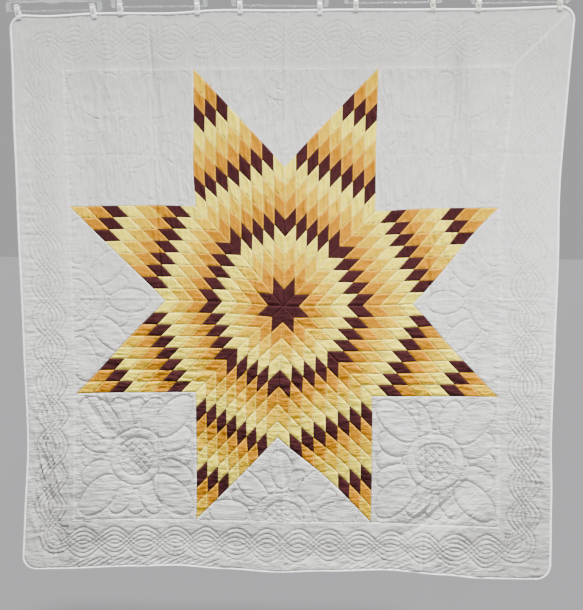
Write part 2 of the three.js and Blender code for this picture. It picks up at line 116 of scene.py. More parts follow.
FOLDS = [  # u, v, lean, half width, half length, depth
    (632, 720, -4, 48, 330, -13), (745, 640, 2, 70, 420, 11), (500, 640, -2, 80, 380, 6),
    (-905, 430, -1, 60, 560, 9), (-775, 380, -2, 55, 500, -8), (-640, 400, 0, 65, 520, 7),
    (-500, 700, 2, 50, 300, -6), (-190, 690, 5, 90, 300, 6), (235, 650, -4, 90, 330, -6),
    (930, 150, 1, 70, 600, 9), (-630, -600, 36, 44, 230, -11), (-780, -730, 32, 80, 230, 9),
    (-450, -520, 30, 70, 200, 5), (-965, -790, 16, 52, 300, -13), (600, -805, -54, 38, 160, -14),
    (735, -620, -28, 44, 160, -8), (725, -830, -42, 64, 210, 11), (520, -450, 4, 36, 110, -6),
    (980, -740, -13, 54, 300, -11), (30, -670, 4, 36, 140, -9), (-110, -700, -6, 62, 170, 7),
    (60, -880, -7, 60, 200, 6), (330, -740, 6, 80, 300, -7), (-300, -780, -5, 80, 300, -7),
    (-210, -940, 87, 42, 210, -6), (210, -980, 93, 42, 210, -6), (60, -150, 0, 420, 500, 10)]
STILL, FREE = 70.0, 280.0  # from the top edge: no folds yet, and all of them


# %% Hanging a flat place
def bell(t):
    return np.exp(-t * t)


def eased(t, low, high):
    s = np.clip((t - low) / (high - low), 0, 1)
    return s * s * (3 - 2 * s)


def along(table, at):
    places, shifts = np.array(table, float).T
    i = np.clip(np.searchsorted(places, at), 1, len(places) - 1)
    return shifts[i - 1] + (shifts[i] - shifts[i - 1]) * eased(at, places[i - 1], places[i])


def leaning(u, v, lean):
    """Across and along a line that leans from upright by some degrees to the left."""
    c, s = math.cos(math.radians(lean)), math.sin(math.radians(lean))
    return u * c + v * s, v * c - u * s


def fold(u, v, table=FOLDS):
    deep = np.zeros_like(u)
    for fu, fv, lean, wide, long, depth in table:
        across, up = leaning(u - fu, v - fv, lean)
        deep += depth * bell(across / wide) * bell(up / long)
    return deep * eased(HALF - v, STILL, FREE)


def hang(u, v, out):
    """Places in metres for flat places, lifted out millimetres to the front of mid cloth."""
    x, z = np.zeros_like(u), np.zeros_like(u)
    for pu, pv, dx, dz in DRAPE:
        s = (u / HALF) ** pu * (v / HALF) ** pv
        x, z = x + dx * s, z + dz * s
    for tu, tv, dx, dz, reach in TUGS:
        s = bell(np.hypot(u - tu, v - tv) / reach)
        x, z = x + dx * s, z + dz * s
    x += along(EDGES["right"], v) * bell((HALF - u) / EDGE_REACH)
    x -= along(EDGES["left"], v) * bell((HALF + u) / EDGE_REACH)
    z += along(EDGES["top"], u) * bell((HALF - v) / EDGE_REACH)
    z -= along(EDGES["bottom"], u) * bell((HALF + v) / EDGE_REACH)
    near = fold(u, v)  # moved along the camera's line of sight
    x += (EYE_X - x) * near / EYE_AWAY
    z += (EYE_Z - z) * near / EYE_AWAY
    return np.stack([x - ORIGIN_X, -near - out, z - ORIGIN_Z], -1) / 1000


corner = hang(np.array([HALF]), np.array([-HALF]), 0)[0]
print("bottom right corner hangs at", corner.round(3))

# %% [markdown]
# ## Quilting lines as distances
# Filling stands up between lines of stitching. So each place needs its distance to the nearest
# line, and a rule turns that into height: nothing on the line, then a quick rise to a soft
# crown. A pattern is then only a list of lines.


# %% From distance to height
def puff(distance, full, reach):
    return full * (1 - np.exp(-np.maximum(distance, 0) / reach))


FAR = 1e9  # farther than any line
BREAK = 12.0  # a longer step is a break in a line
SEEN = 110.0  # a stitch matters to places as near as this


def to_lines(s, t, lines):
    """Distance from each place to the nearest of many short straight stitches."""
    best = np.full(s.shape, FAR)
    for line in lines:
        a, b = line[:-1], line[1:]
        keep = np.hypot(*(b - a).T) < BREAK
        for (ax, ay), (bx, by) in zip(a[keep], b[keep]):
            near = np.abs(s - ax) + np.abs(t - ay) < SEEN
            px, py = s[near] - ax, t[near] - ay
            dx, dy = bx - ax, by - ay
            k = np.clip((px * dx + py * dy) / (dx * dx + dy * dy + 1e-9), 0, 1)
            best[near] = np.minimum(best[near], np.hypot(px - k * dx, py - k * dy))
    return best


LUMPS = 97  # along the side of a square that repeats


def drift(u, v, wide, tall, seed):
    """Smooth uneven values from -1 to 1, with lumps of the given width and height."""
    grid = np.random.default_rng(seed).uniform(-1, 1, (LUMPS, LUMPS))
    x, y = u / wide + 500.3, v / tall + 500.7
    i, j = np.floor(x).astype(int), np.floor(y).astype(int)
    fx, fy = eased(x - i, 0, 1), eased(y - j, 0, 1)
    low, high = (grid[(i + di) % LUMPS, j % LUMPS] * (1 - fy)
                 + grid[(i + di) % LUMPS, (j + 1) % LUMPS] * fy for di in (0, 1))
    return low * (1 - fx) + high * fx


# %% [markdown]
# ## The rose in the corner squares and half roses in the side triangles
# A rose is a round with crossed lines, a ring, four large petals to the corners, and smaller
# petals that show from under them. A triangle holds half of one, fanned to the star. Petals
# are ovals, listed from the top layer down. A line is dropped where an upper petal covers it.

# %% Petals
ROSE = [  # angle, middle, half length, half width
    *[(45 + 90 * k, 214, 103, 57) for k in range(4)],
    *[(90 * k + side, 172, 72, 47) for k in range(4) for side in (-22, 22)],
    *[(90 * k, 178, 52, 44) for k in range(4)]]
FANNED = [  # as above, with the angle from upright
    (82, 222, 84, 50), (42, 190, 88, 46), (62, 176, 62, 40), (20, 172, 50, 36)]
HALF_ROSE = [(90, 216, 80, 43)] + [(90 + side * off, *size) for off, *size in FANNED
                                   for side in (-1, 1)]
ROUNDS = {"rose": (73, 110), "half": (80, 118)}
HATCH = 24.0  # between the crossed lines of the centre


def oval(angle, middle, length, width, step):
    """An oval round the line that leaves the centre at an angle, in steps of some degrees."""
    turn = np.radians(np.arange(0, 361, step))
    return np.stack(leaning(middle + length * np.cos(turn), width * np.sin(turn), -angle), 1)


def inside(points, petal):
    angle, middle, length, width = petal
    a, b = leaning(*points.T, angle)
    return ((a - middle) / length) ** 2 + (b / width) ** 2 < 0.985


def petal_lines(petals, ring):
    lines = []
    for n, petal in enumerate(petals):
        points = oval(*petal, 5)
        hidden = np.hypot(*points.T) < ring
        for other in petals[:n]:
            hidden |= inside(points, other)
        points[hidden] = np.nan
        lines.append(points)
    return lines


def rose_distance(s, t, petals, rounds):
    lines = [oval(0, 0, r, r, 4) for r in rounds] + petal_lines(petals, rounds[1])
    best = to_lines(s, t, lines)
    for w in ((s + t) / math.sqrt(2), (s - t) / math.sqrt(2)):
        crossed = np.abs((w / HATCH + 0.5) % 1 - 0.5) * HATCH
        best = np.where(np.hypot(s, t) < rounds[0], np.minimum(best, crossed + 1.6), best)
    return best


# %% [markdown]
# ## The cable in the border
# Two strands of four lines wind round each other and simply cross. A place is measured along
# the middle of the cable and out from it, and that middle line turns the corners with a bend.

# %% Cable distances
MIDLINE, BEND = 97.0, 75.0  # from the seam, and the bend at a corner
SWING, SPACING, LINES = 36.0, 18.6, 4  # to each side, and the lines of a strand
EYES = 60  # all round the quilt
PITCH = (4 * 2 * (SQUARE + MIDLINE - BEND) + 2 * math.pi * BEND) / EYES


def cable_distance(s, y):
    """Distance to the cable's lines, s along it from the middle of a side, y out from it."""
    swing = SWING * np.sin(np.pi * s / PITCH)
    slope = SWING * np.pi / PITCH * np.cos(np.pi * s / PITCH)
    steep = 1 / np.sqrt(1 + slope * slope)
    offsets = (np.arange(LINES) - (LINES - 1) / 2) * SPACING
    away = [np.abs(y - side * swing - off) for side in (1, -1) for off in offsets]
    return np.min(away, 0) * steep


def cable_place(u, v):
    """Along and out for places in the top border, with its two halves of the corners."""
    centre = SQUARE + MIDLINE - BEND
    round_corner = (np.abs(u) > centre) & (v > centre)
    x, y = np.abs(u) - centre, v - centre
    bent = np.sign(u) * (centre + BEND * np.arctan2(x, np.maximum(y, 1e-6)))
    return (np.where(round_corner, bent, u),
            np.where(round_corner, np.hypot(x, y) - BEND, v - SQUARE - MIDLINE))


print("the cable turns over every", round(PITCH, 1), "mm")

# %% [markdown]
# ## Wrinkles, puckers and pinches
# Quilting draws the cloth in: short level wrinkles cross the lower half, and upright ones the
# upper half, where the clips pull. Fine pleats run along the folds, and a few are sharp enough
# to be placed one by one. Seams pucker across their own line. Old storage creases cross the
# quilt at its middle and quarters, and each clip pinches it flat.

# %% Small unevenness of the surface
CREASES = [("u", -512, -6.5), ("u", 0, 5.0), ("u", 560, -5.0), ("v", 10, 1.6), ("v", -540, 2.0),
           ("v", 540, -0.8)]
SHARP = [  # u, v, lean, half width, half length, depth
    (640, 800, -4, 10, 250, -5.5), (660, 760, -6, 8, 200, 2.5), (566, 600, 1, 9, 230, -3.2),
    (-705, 660, 0, 11, 300, -2.2), (-495, 690, 1, 12, 320, -2.8), (-985, 560, 1, 16, 420, -2.4),
    (545, -770, -28, 9, 48, -2.6), (600, -792, -46, 8, 62, -3.6), (655, -742, -48, 7, 58, -3.2),
    (702, -688, -42, 9, 60, -3.5), (497, -882, -60, 9, 46, -4.5), (575, -845, -50, 9, 50, 3),
    (690, -770, -44, 12, 90, 2.6), (-772, -430, 33, 9, 90, -4), (-738, -440, 30, 8, 85, 3),
    (-690, -505, 52, 11, 62, -3), (-560, -560, 44, 10, 80, -2.5), (-480, -790, 60, 9, 55, -4),
    (-530, -740, 14, 9, 60, -3), (12, -650, 2, 8, 90, -4), (34, -610, -3, 8, 80, 3),
    (-965, -640, 12, 10, 130, -3.5), (-930, -800, 17, 9, 130, -3), (-985, -760, 15, 9, 150, 3),
    (530, -420, 3, 8, 80, -4)]
PLEATS = [  # u, v, half width, half height, lean, size
    (-965, -700, 80, 330, 16, 6.5), (985, -720, 60, 320, -13, 3.2),
    (610, -780, 130, 105, -48, 4.2), (-1010, -100, 40, 600, 88, 1.6),
    (250, -1000, 640, 38, -66, 1.6), (-745, -440, 85, 110, 33, 2.6),
    (-600, -620, 200, 150, 58, 0.7), (1012, -560, 38, 380, 88, 2.6), (645, 700, 50, 300, -4, 1.6),
    (-500, 720, 45, 280, 1, 1.2), (-760, 640, 120, 260, 1, 1.0), (860, -300, 30, 500, 88, 0.9),
    (-860, -500, 34, 480, 90, 1.1), (40, -640, 90, 110, 3, 1.3)]
CREASE_WIDE = 5.0
MOST = 7.0  # the most that a pleat or crease stands out
CLIPS_AT = [-987, -707, -607, -324, -167, 125, 256, 535, 701, 992]
PINCH_WIDE, PINCH_HIGH = 20.0, 34.0


def wrinkles(u, v):
    level = drift(u, v, 42, 11, 3) + 1.3 * (0.4 - np.abs(drift(u, v, 60, 13, 4)))
    upright = drift(u, v, 10, 60, 5) + 1.2 * (0.4 - np.abs(drift(u, v, 12, 70, 6)))
    slanting = 0.4 - np.abs(drift(u + 0.8 * v, v, 34, 40, 14))
    lift = eased(v, -350, 450)
    patches = 0.8 + 0.5 * drift(u, v, 130, 110, 7)
    return (level * (1 - 0.93 * lift) + upright * (0.1 + 1.7 * lift)
            + 0.5 * slanting * (1 - 0.8 * lift)) * patches


def pleats(u, v):
    lift = np.zeros_like(u)
    for n, (pu, pv, wide, tall, lean, size) in enumerate(PLEATS):
        across, up = leaning(u - pu, v - pv, lean)
        fine = 0.4 - np.abs(drift(across, up, 13, 90, 80 + n))
        fine = drift(across, up, 8, 62, 60 + n) + 0.8 * fine
        lift += size * bell((u - pu) / wide) * bell((v - pv) / tall) * fine
    return lift


def seam_puckers(u, v):
    """Short puckers that cross the long seams between the ground and the border."""
    upright = bell((np.abs(u) - SQUARE) / 20) * (np.abs(v) < SQUARE)
    level = bell((np.abs(v) - SQUARE) / 16) * (np.abs(u) < SQUARE)
    return upright * drift(u, v, 60, 6.5, 8) + 0.7 * level * drift(u, v, 6.5, 60, 9)


def creases(u, v):
    lift = np.zeros_like(u)
    for axis, at, deep in CREASES:
        across, run = (u, v) if axis == "u" else (v, u)
        sway = at + 5 * drift(run, run, 210, 210, 11 + abs(int(at)) % 7)
        uneven = 0.6 + 0.5 * drift(run, run, 120, 120, 12)
        lift += deep * bell((across - sway) / CREASE_WIDE) * uneven
    return lift


def pinch(u, v):
    """One where the cloth is free, nearly nothing between the jaws of a clip."""
    x = hang(u, v, 0)[..., 0] * 1000 + ORIGIN_X
    held = np.zeros_like(u)
    for at in CLIPS_AT:
        held = np.maximum(held, bell((x - at) / PINCH_WIDE) * bell((HALF - v) / PINCH_HIGH))
    return 1 - 0.92 * np.clip(held * 1.5, 0, 1)


def surface(u, v, distance, full, fine=1.0):
    """How far the top of the cloth stands up from its stitching."""
    d = np.maximum(distance, 0)
    drawn = 1.4 - 1.12 * eased(v, -600, 650)  # its own weight pulls the upper part flatter
    drawn *= 1 - 0.35 * eased(u, 600, 900) * eased(v, -900, -300)
    crown = puff(d, full * (1 + 0.18 * drift(u, v, 55, 55, 13)), 13) + puff(d, 2.1, 3.6)
    small = fine * (1.15 * wrinkles(u, v) + 1.2 * seam_puckers(u, v)) * np.clip(d / 5, 0.3, 1)
    return np.maximum(0, (drawn * crown + small * (0.4 + 0.6 * drawn)) * pinch(u, v))


def brought_forward(u, v):
    """How far pleats and creases bring the whole cloth forward, all its layers together."""
    from_hem = HALF - np.maximum(np.abs(u), np.abs(v))
    free = pinch(u, v) * (0.3 + 0.7 * eased(from_hem, 0, 45))
    deep = pleats(u, v) + fold(u, v, SHARP) + creases(u, v)
    return MOST * np.tanh(deep / MOST) * free  # never more than the room round the solid


# %% [markdown]
# ## Laying out the pieces
# A flat piece starts as a grid at its place on the flat quilt. Its places go into a UV map, so
# that weave and wrinkles follow the cloth, and its distance to the stitching goes into an
# attribute. Only then is it hung.


# %% From a flat grid to hung cloth
def add_grid(bm, columns, rows, matrix):
    """A grid over the unit square, put through a matrix onto the flat quilt."""
    made = bmesh.ops.create_grid(bm, x_segments=columns, y_segments=rows, size=0.5,
                                 matrix=Matrix.Translation((0.5, 0.5, 0)))["verts"]
    bmesh.ops.transform(bm, matrix=matrix, verts=made)
    return made


def placed(origin, along_u, along_v):
    """The matrix that carries the unit square to a corner and two sides on the quilt."""
    return Matrix(((along_u[0], along_v[0], 0, origin[0]),
                   (along_u[1], along_v[1], 0, origin[1]), (0, 0, 1, 0), (0, 0, 0, 1)))


def turned(k, u, v):
    return ((u, v), (-v, u), (-u, -v), (v, -u))[k % 4]


def finish_piece(bm, name, materials):
    mesh = bpy.data.meshes.new(name)
    bm.to_mesh(mesh)
    bm.free()
    piece = add_object(name, mesh)
    for material in materials:
        mesh.materials.append(material)
    mesh.polygons.foreach_set("use_smooth", np.ones(len(mesh.polygons), bool))
    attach(piece, "root")
    print(f"{name}: {len(mesh.polygons)} faces")
    return piece


def flat_places(piece, axes=(0, 1)):
    places = np.empty(len(piece.data.vertices) * 3)
    piece.data.vertices.foreach_get("co", places)
    return places.reshape(-1, 3)[:, axes].T


def at_corners(piece):
    """The number of the vertex at each corner of every face."""
    numbers = np.empty(len(piece.data.loops), int)
    piece.data.loops.foreach_get("vertex_index", numbers)
    return numbers


def store_map(piece, name, first, second):
    """A pair of numbers for every place, as a UV map for the materials."""
    pairs = np.stack([first, second], 1)[at_corners(piece)]
    piece.data.uv_layers.new(name=name).data.foreach_set("uv", pairs.ravel())


STITCH_REACH = 3.0  # how far out from a stitch its shade is seen
UNSEWN = 99.0  # stands for no seam near


def hang_piece(piece, u, v, rise, distance, seam=None, side=1):
    """Stores the flat places, the stitching and the seams, then hangs the cloth."""
    store_map(piece, "flat", u / 1000, v / 1000)
    stored = {"stitched": np.exp(-(np.maximum(distance, 0) / STITCH_REACH)),
              "from_seam": np.full(len(u), UNSEWN) if seam is None else seam}
    for name, values in stored.items():
        piece.data.attributes.new(name, "FLOAT", "POINT").data.foreach_set("value", values)
    follows = 0.75 + 0.25 * side  # the back follows the front's creases by half
    out = side * (THICK / 2 + rise) + brought_forward(u, v) * follows
    piece.data.vertices.foreach_set("co", hang(u, v, out).ravel())
    piece.data.update()


# %% [markdown]
# ## Shader sums
# Materials are written as sums. One small class wraps a socket, so that plain operators make
# Math nodes, and another adds any other node with its settings and inputs.


# %% A socket that can be used in sums
class Signal:
    def __init__(self, finish, socket):
        self.finish, self.socket = finish, socket

    def sum(self, operation, *values):
        return self.finish.node("ShaderNodeMath", {"operation": operation},
                                dict(enumerate(values)))[0]

    def alone(self, operation):
        return self.sum(operation, self)

    def __add__(self, other):
        return self.sum("ADD", self, other)

    def __sub__(self, other):
        return self.sum("SUBTRACT", self, other)

    def __rsub__(self, other):
        return self.sum("SUBTRACT", other, self)

    def __mul__(self, other):
        return self.sum("MULTIPLY", self, other)

    def __pow__(self, other):
        return self.sum("POWER", self, other)

    __radd__, __rmul__ = __add__, __mul__

    def ranged(self, low, high, first, last, smooth=False):
        """Carries the span from low to high over to the one from first to last."""
        settings = {"interpolation_type": "SMOOTHSTEP"} if smooth else None
        return self.finish.node("ShaderNodeMapRange", settings,
                                {0: self, 1: low, 2: high, 3: first, 4: last})[0]


class Finish:
    """A material under construction, with its main shader ready."""

    def __init__(self, name, roughness, metallic=0.0):
        self.material = bpy.data.materials.new(name)
        self.material.use_nodes = True
        self.tree = self.material.node_tree
        self.shader = self.tree.nodes["Principled BSDF"]
        self.shader.inputs["Roughness"].default_value = roughness
        self.shader.inputs["Metallic"].default_value = metallic

    def node(self, kind, settings=None, inputs=None):
        made = self.tree.nodes.new(kind)
        for key, value in (settings or {}).items():
            setattr(made, key, value)
        for key, value in (inputs or {}).items():
            if isinstance(value, Signal):
                self.tree.links.new(value.socket, made.inputs[key])
            else:
                made.inputs[key].default_value = value
        return [Signal(self, socket) for socket in made.outputs]

    def feed(self, name, value):
        self.tree.links.new(value.socket, self.shader.inputs[name])

    def blend(self, factor, first, second, kind="MIX"):
        """A colour between two colours, each a signal or three numbers."""
        first, second = (c if isinstance(c, Signal) else (*c, 1) for c in (first, second))
        return self.node("ShaderNodeMix", {"data_type": "RGBA", "blend_type": kind},
                         {0: factor, 6: first, 7: second})[2]

    def noise(self, where, scale, detail=2.0, roughness=0.5, distortion=0.0):
        return self.node("ShaderNodeTexNoise", None,
                         {"Vector": where, "Scale": scale, "Detail": detail,
                          "Roughness": roughness, "Distortion": distortion})[0]

    def stretched(self, where, scale):
        return self.node("ShaderNodeMapping", None, {0: where, "Scale": scale})[0]

    def bump(self, height, distance, strength=1.0, below=None):
        inputs = {"Strength": strength, "Distance": distance, "Height": height}
        return self.node("ShaderNodeBump", None, inputs | ({"Normal": below} if below else {}))[0]


# %% [markdown]
# ## The cottons
# Every cloth is plain-woven cotton, matt and a little mottled by washing. Its threads and the
# fine crumple of washed cloth are bump on the flat map. Close to the stitching and the seams,
# painted shade makes it darker, more strongly towards the bottom.


# %% Cotton
THREADS = 1250.0  # in a metre


def cotton(name, colour, shade, crumple=1.0, seams=None, pale=None, fleck=None):
    made = Finish(name, 0.92)
    flat = made.node("ShaderNodeUVMap", {"uv_map": "flat"})[0]
    across, up, _ = made.node("ShaderNodeSeparateXYZ", None, {0: flat})
    wave = 2 * math.pi * THREADS
    weave = (across * wave).alone("SINE") * (up * wave).alone("SINE")
    stitched = made.node("ShaderNodeAttribute", {"attribute_name": "stitched"})[2]
    # level wrinkles below give way to upright ones above, and come in patches
    level, upright = (made.stretched(flat, scale) for scale in ((24, 90, 1), (110, 22, 1)))
    lift = up.ranged(-0.35, 0.35, 0.12, 0.95)
    patches = made.noise(flat, 11.0).ranged(0.36, 0.62, 0.25, 1.5)
    strong = (patches * (1 - lift) + lift * 0.7) * (stitched ** 0.14 + 0.25)
    height = (made.noise(level, 1.0, 3.0, 0.6, 0.7) * (1 - lift)
              + made.noise(upright, 1.0, 3.0, 0.6, 0.7) * lift) * (1.3 - 0.75 * lift) * strong
    normal = made.bump(height, 0.0085 * crumple)
    mottled = made.noise(flat, 9.0, 5.0, 0.6) * 0.6 + made.noise(level, 0.7) * 0.4
    tone = made.blend(mottled.ranged(0.35, 0.65, 0.0, 0.8), colour, shade)
    if seams:
        stitched, allowance_and_painted_highlight, ditch, own = seams(made, stitched, across, up)
        normal = made.bump(ditch * (1.15 - 0.9 * lift), 0.0034, below=normal)
        # each piece's own tone, times painted shade of the lower rows, the hem, corners and top
        # edge
        tone = made.blend(1.0, tone, own, "MULTIPLY")
        # light line beside each seam: on white the allowance beneath it, and a painted highlight
        # of its ridge
        pale = pale or [min(0.92, 1.25 * c + 0.02) for c in colour]
        tone = made.blend(allowance_and_painted_highlight * 0.8, tone, pale)
    if fleck:
        away = ((across - fleck[0]) * 450) ** 2 + ((up - fleck[1]) * 190) ** 2
        tone = made.blend((away * -1).alone("EXPONENT") * 0.7, tone, (0.16, 0.06, 0.03))
    # painted shade in the grooves of the stitching and the seams, weaker towards the top
    painted_groove_shade = stitched * (0.6 - 0.55 * lift)
    made.feed("Base Color", made.blend(painted_groove_shade, tone, [0.35 * c for c in shade]))
    made.feed("Normal", made.bump(weave, 0.00018, 0.25, normal))
    made.shader.inputs["Specular IOR Level"].default_value = 0.04
    return made.material


def near_line(away, width):
    """One on a line and nothing a few widths from it."""
    return (away * (-1 / width)).alone("EXPONENT")


def patch_seams(made, stitched, across, up):
    """Crisp seams of the small diamonds, darkened with painted shade, and a tone of its own for
    each of them. The lower rows, which lean away from the light, carry painted shade."""
    patch = made.node("ShaderNodeUVMap", {"uv_map": "patch"})[0]
    p, q, _ = made.node("ShaderNodeSeparateXYZ", None, {0: patch})
    away = [((w + 0.5).alone("FRACT") - 0.5).alone("ABSOLUTE") * LANE for w in (p, q)]
    nearest = away[0].sum("MINIMUM", *away)
    ditch = near_line(nearest, 1.3)
    # painted highlight: a light line beside each seam, for its raised ridge
    light = near_line((nearest - 2.2).alone("ABSOLUTE"), 1.5)
    each = made.node("ShaderNodeVectorMath", {"operation": "FLOOR"}, {0: patch})[0]
    own = made.node("ShaderNodeTexWhiteNoise", {"noise_dimensions": "2D"}, {"Vector": each})[0]
    # painted shade: the lower rows are darkened
    low = up.ranged(-0.15, -0.65, 0.0, 0.15, smooth=True)
    # the first value darkens the seams with painted shade
    return ditch * 0.28, light, 1 - ditch * 0.7, (own * 0.12 + 0.89) * (1 - low)


def white_seams(made, stitched, across, up):
    """A light line beside each seam, where its allowance lies under the thin white cloth, and a
    painted highlight of its ridge. The hem, the lower corners and the top edge get painted shade."""
    away = made.node("ShaderNodeAttribute", {"attribute_name": "from_seam"})[2]
    ditch = near_line(away, 1.2)
    light = near_line((away - 2.6).alone("ABSOLUTE"), 2.0)
    # painted shade: darker towards the hem, the lower corners and the top edge
    low = up.ranged(-0.2, -1.0, 0.0, 1.0, smooth=True)
    top = up.ranged(0.6, 0.92, 1.0, 0.84, smooth=True)
    sides = across.alone("ABSOLUTE").ranged(0.6, 1.0, 0.0, 0.2, smooth=True)
    painted_falloff_shade = (1 - low * 0.18) * (1 - low * sides) * top
    # the first value is the strength of the painted shade by the stitching
    return stitched * 0.55, light, 1 - ditch * 0.25 - stitched * 0.35, painted_falloff_shade


def cable_seams(made, stitched, across, up):
    """The crisp lines of the cable, by the same rule that raised the border, darkened with
    painted shade.
    """
    cable = made.node("ShaderNodeUVMap", {"uv_map": "cable"})[0]
    run, out, _ = made.node("ShaderNodeSeparateXYZ", None, {0: cable})
    slope = (run * math.pi).alone("COSINE") * (SWING * math.pi / PITCH)
    steep = (slope * slope + 1) ** -0.5
    lines = stitched * 0
    for side in (1, -1):
        off = (out - (run * math.pi).alone("SINE") * (side * SWING)) * (1 / SPACING)
        away = (off.alone("FRACT") - 0.5).alone("ABSOLUTE") * steep * SPACING
        within = off.sum("LESS_THAN", off.alone("ABSOLUTE"), LINES / 2)
        lines = lines.sum("MAXIMUM", lines, near_line(away, 1.9) * within)
    lines = lines * made.noise(cable, 0.11).ranged(0.35, 0.65, 0.35, 1.0)
    # the same light lines and painted shade of the hem, corners and top edge as the white ground
    _, light, ditch, own = white_seams(made, stitched, across, up)
    return lines, light, ditch.sum("MINIMUM", ditch, 1 - lines), own


WHITES = (0.63, 0.62, 0.60), (0.58, 0.57, 0.55)
FLECK = (-0.351, 0.961)  # a small stain on the top border
WHITE = cotton("white_cotton", *WHITES, 1.3, white_seams)
CABLED = cotton("white_border_cotton", *WHITES, 1.0, cable_seams)
LEVEL = cotton("white_border_cotton_level", *WHITES, 1.0, cable_seams, fleck=FLECK)
PLAIN = cotton("white_backing_cotton", *WHITES)
BROWN = cotton("brown_cotton", (0.047, 0.0125, 0.014), (0.040, 0.011, 0.012), 1.1, patch_seams,
               (0.052, 0.015, 0.017))
ORANGE = cotton("orange_cotton", (0.52, 0.205, 0.0), (0.465, 0.178, 0.0), 1.4, patch_seams,
                (0.80, 0.43, 0.03))
GOLD = cotton("gold_cotton", (0.73, 0.440, 0.0), (0.665, 0.395, 0.0), 1.4, patch_seams,
              (0.91, 0.69, 0.09))
CREAM = cotton("cream_cotton", (0.94, 0.77, 0.045), (0.90, 0.73, 0.040), 1.3, patch_seams,
               (0.96, 0.88, 0.24))
TAPE = cotton("white_binding", (0.95, 0.945, 0.93), (0.91, 0.905, 0.89), 0.3)

# %% [markdown]
# ## The pieced star
# Eight large diamonds meet at the centre, each pieced from strips of small ones. The colours
# run in rings: brown at the centre, then orange, gold, cream and brown again. One sheared grid
# makes a large diamond, as its rows already are the strips, and a face takes its ring's colour.

# %% The star
FINE = 128  # grid steps along a large diamond
RINGS = (BROWN, ORANGE, GOLD, CREAM)


def star_rows(u, v, sector):
    """Rows counted along both sides of a large diamond, and the distance to their seams."""
    a, b = sector * math.pi / 4, (sector + 1) * math.pi / 4
    p, q = (u * np.sin(b) - v * np.cos(b)) / LANE, (v * np.cos(a) - u * np.sin(a)) / LANE
    return p, q, np.minimum(*[np.abs((w + 0.5) % 1 - 0.5) * LANE for w in (p, q)])


def make_star(name, numbers):
    bm = bmesh.new()
    for k in numbers:
        a, b = k * math.pi / 4, (k + 1) * math.pi / 4
        add_grid(bm, FINE, FINE, placed((0, 0), (SIDE * math.cos(a), SIDE * math.sin(a)),
                                        (SIDE * math.cos(b), SIDE * math.sin(b))))
    piece = finish_piece(bm, name, RINGS)
    u, v = flat_places(piece)
    sector = np.repeat(np.array(numbers), len(u) // len(numbers))
    p, q, distance = star_rows(u, v, sector)
    corners = at_corners(piece).reshape(-1, 4)
    ring = np.floor(p[corners].mean(1)) + np.floor(q[corners].mean(1))
    piece.data.polygons.foreach_set("material_index", (ring % 4).astype(int))
    store_map(piece, "patch", p + 2 * STEPS * sector, q)
    fine = 1.8 + 1.0 * eased(v, 0, 500)
    hang_piece(piece, u, v, surface(u, v, distance, 2.4, fine), distance)
    return piece


star = [make_star("star_upper_half", (0, 1, 2, 3)), make_star("star_lower_half", (4, 5, 6, 7))]

# %% [markdown]
# ## The white ground
# Four squares fill the corners of the star and four triangles its sides. A triangle is half a
# square, so it is made as a square grid standing on its corner and cut along the diagonal.

# %% Corner squares and side triangles
MIDDLE, LEG = SQUARE - SIDE / 2, SIDE * math.sqrt(0.5)
CLOSE = 174  # grid steps along a square
SEAM = 3.5  # a seam draws the cloth in less than quilting does


def make_ground(name, quarters):
    bm = bmesh.new()
    for k in quarters:
        add_grid(bm, CLOSE, CLOSE, placed(turned(k, SQUARE - SIDE, SQUARE - SIDE),
                                          turned(k, SIDE, 0), turned(k, 0, SIDE)))
    for k in quarters:
        verts = add_grid(bm, CLOSE, CLOSE, placed(turned(k, 0, SQUARE - LEG), turned(k, LEG, LEG),
                                                  turned(k, -LEG, LEG)))
        faces = list({f for vert in verts for f in vert.link_faces})
        edges = list({e for vert in verts for e in vert.link_edges})
        bmesh.ops.bisect_plane(bm, geom=verts + edges + faces, dist=1e-4, clear_outer=True,
                               plane_co=(*turned(k, 0, SQUARE), 0), plane_no=(*turned(k, 0, 1), 0))
    piece = finish_piece(bm, name, [WHITE])
    u, v = flat_places(piece)
    in_square = np.minimum(np.abs(u), np.abs(v)) > SQUARE - SIDE - 0.01
    (square, triangle), edges = ground_distances(u, v)
    distance = np.where(in_square, square, triangle)
    rise = surface(u, v, distance, 3.4, 1 + 0.5 * eased(v, 0, 500))
    hang_piece(piece, u, v, rise, distance, np.where(in_square, *edges))
    return piece


def ground_distances(u, v):
    """Distances to the stitching of squares and of triangles, and to their seams."""
    s, t = np.abs(u) - MIDDLE, np.abs(v) - MIDDLE
    askew = [5 * drift(u, v, 90, 90, seed) for seed in (31, 32)]
    rose = rose_distance(s + askew[0], t + askew[1], ROSE, ROUNDS["rose"])
    square_edge = SIDE / 2 - np.maximum(np.abs(s), np.abs(t))
    upright = np.abs(v) > np.abs(u)
    s, t = np.where(upright, u, v), SQUARE - np.where(upright, np.abs(v), np.abs(u))
    half_rose = rose_distance(s + askew[0], t + askew[1], HALF_ROSE, ROUNDS["half"])
    triangle_edge = np.minimum(t, (LEG - t - np.abs(s)) * math.sqrt(0.5))
    return ((np.minimum(square_edge + SEAM, rose), np.minimum(triangle_edge + SEAM, half_rose)),
            (square_edge, triangle_edge))


ground = [make_ground("upper_ground", (0, 1)), make_ground("lower_ground", (2, 3))]

# %% [markdown]
# ## The border
# Four strips meet in slanting seams at the corners. Each is a grid that widens to the outside,
# and the quilt's rounded corners are made by drawing the outermost corner in to an arc.

# %% Border strips
ROWS, COLUMNS = 50, 500
ARC = ROUND - HALF + EDGE
CENTRE = EDGE - ARC  # of a corner's arc
ECHO_LEAN, ECHO_APART = 0.5, 17.0  # slanting lines beside the bottom cable


